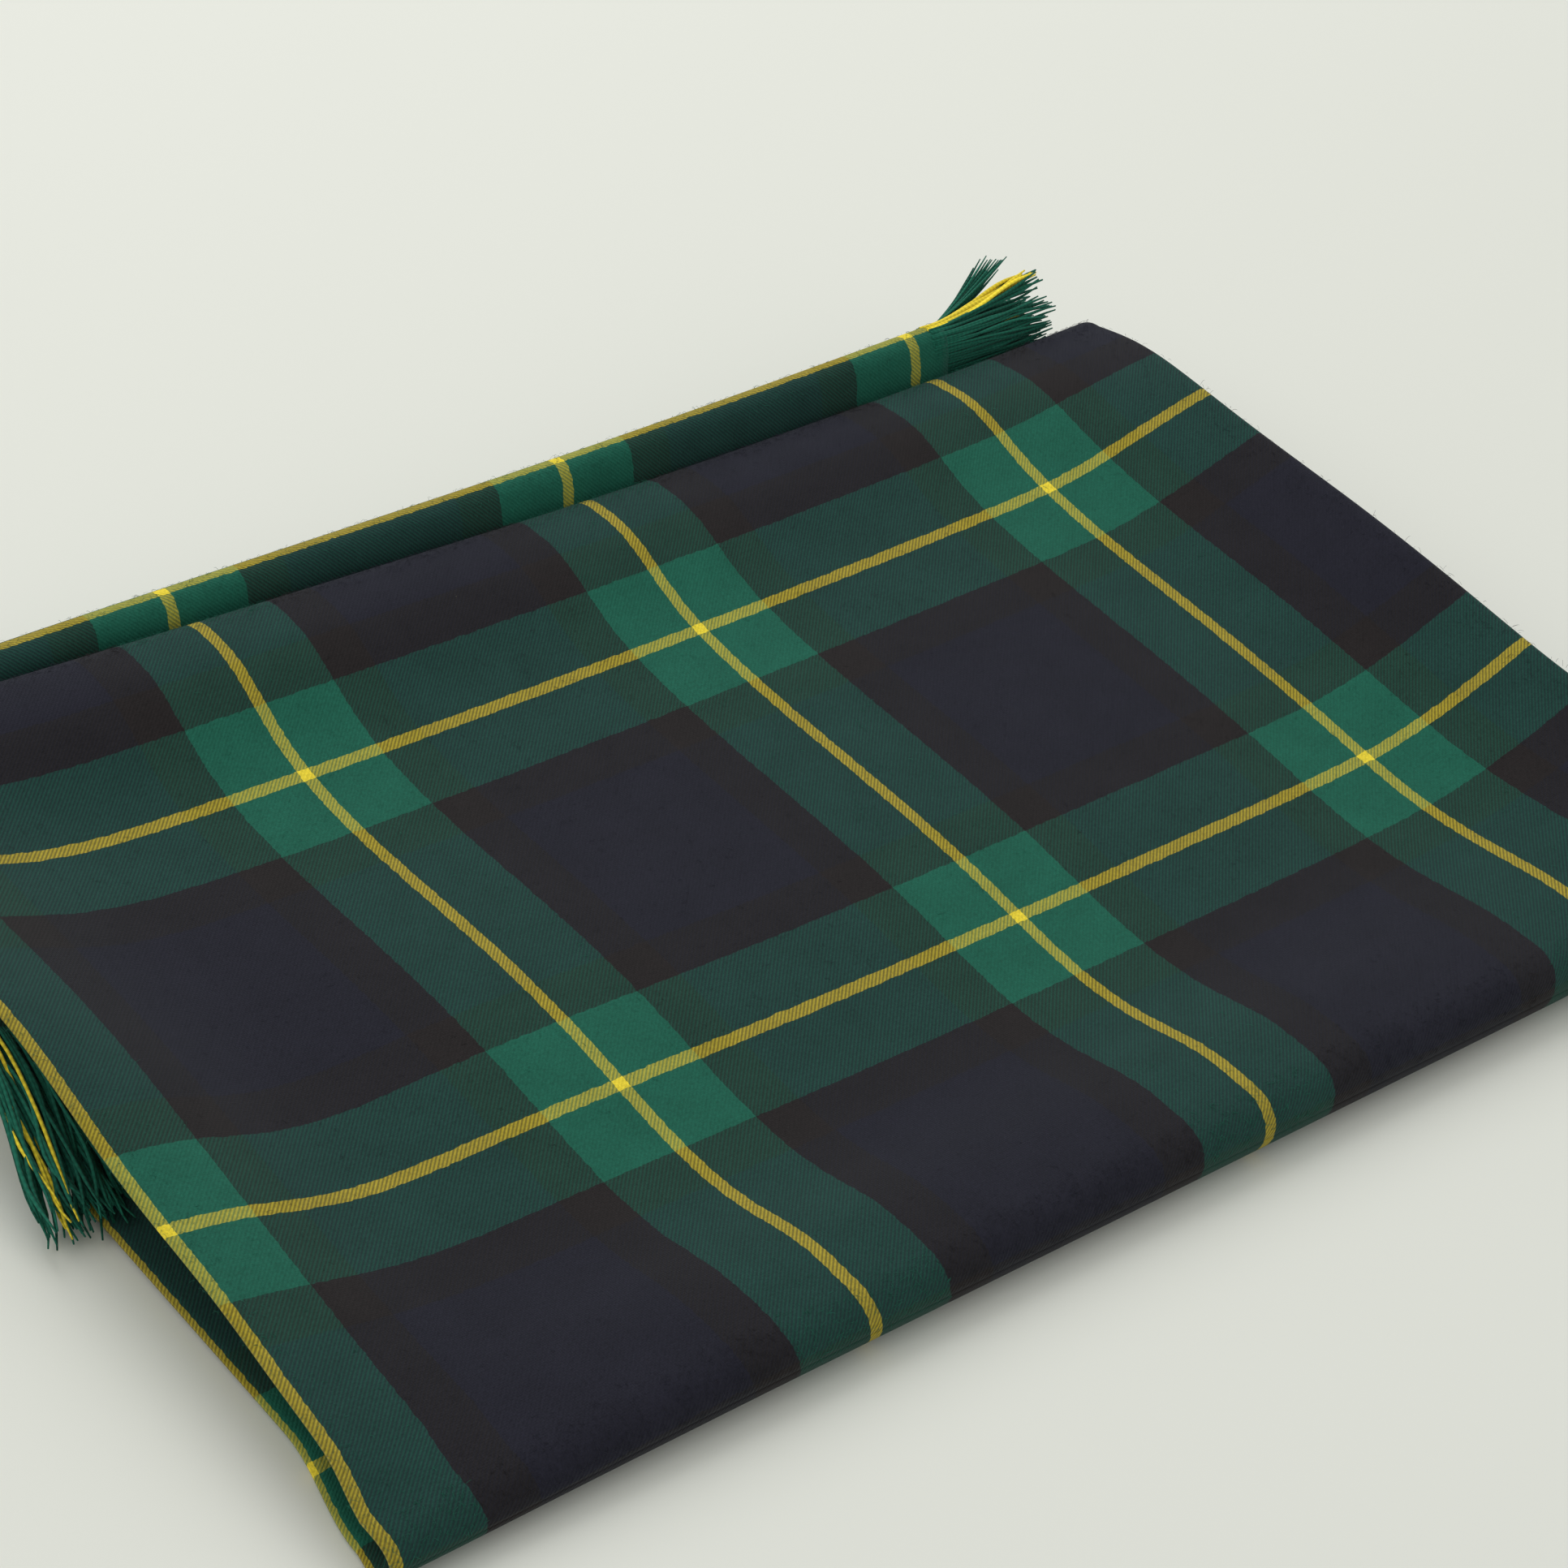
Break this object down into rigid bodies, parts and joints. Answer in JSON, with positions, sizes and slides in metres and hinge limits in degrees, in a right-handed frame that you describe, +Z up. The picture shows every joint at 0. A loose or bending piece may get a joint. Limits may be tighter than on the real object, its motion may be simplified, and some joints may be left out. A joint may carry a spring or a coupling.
{
  "type": "folded throw",
  "caption": "Fringed wool tartan lap throw, doubled lengthwise and folded into a flat pack, with one end tucked under the top panel and the other rolled behind the back fold.",
  "frame": {"origin": "middle of the pack's footprint, on the surface that it lies on", "axes": "+X along the front fold towards the side folds, -Y towards the front fold, +Z up"},
  "size_m": [0.366, 0.234, 0.0278],
  "materials": {
    "wool_tartan": "brushed wool twill in green and navy with yellow lines, matt and slightly fuzzy",
    "fringe_yarn": "loose wool warp ends, matt"
  },
  "bodies": {
    "base": {"bottom_panel_lower_ply": "wool_tartan", "bottom_panel_side_fold": "wool_tartan", "bottom_panel_upper_ply": "wool_tartan", "tail_centre_fold": "wool_tartan", "tail_lower_fringe": "fringe_yarn", "tail_lower_inner_ply": "wool_tartan", "tail_lower_outer_ply": "wool_tartan", "tail_roll_fringe_inner": "fringe_yarn", "tail_roll_fringe_outer": "fringe_yarn", "tail_roll_inner_ply": "wool_tartan", "tail_roll_outer_ply": "wool_tartan", "tail_upper_fringe": "fringe_yarn", "tail_upper_inner_ply": "wool_tartan", "tail_upper_outer_ply": "wool_tartan"},
    "fold_wall": {"front_fold_inner_ply": "wool_tartan", "front_fold_outer_ply": "wool_tartan", "front_fold_side_bend": "wool_tartan"},
    "top_flap": {"back_fold_inner_ply": "wool_tartan", "back_fold_outer_ply": "wool_tartan", "back_fold_side_bend": "wool_tartan", "top_panel_lower_ply": "wool_tartan", "top_panel_side_fold": "wool_tartan", "top_panel_upper_ply": "wool_tartan", "tucked_flap_fringe_lower": "fringe_yarn", "tucked_flap_fringe_upper": "fringe_yarn", "tucked_flap_lower_ply": "wool_tartan", "tucked_flap_side_fold": "wool_tartan", "tucked_flap_upper_ply": "wool_tartan"}
  },
  "joints": [
    {"name": "front_fold_lower", "type": "hinge", "parent": "base", "child": "fold_wall", "pos_m": [0, -0.117, 0], "axis": [1, 0, 0], "range_deg": [0, 90]},
    {"name": "front_fold_upper", "type": "hinge", "parent": "fold_wall", "child": "top_flap", "pos_m": [0, -0.117, 0.026], "axis": [1, 0, 0], "range_deg": [0, 90]}
  ],
  "couplings": [
    {"joint": "front_fold_upper", "follows": "front_fold_lower", "ratio": 1}
  ]
}
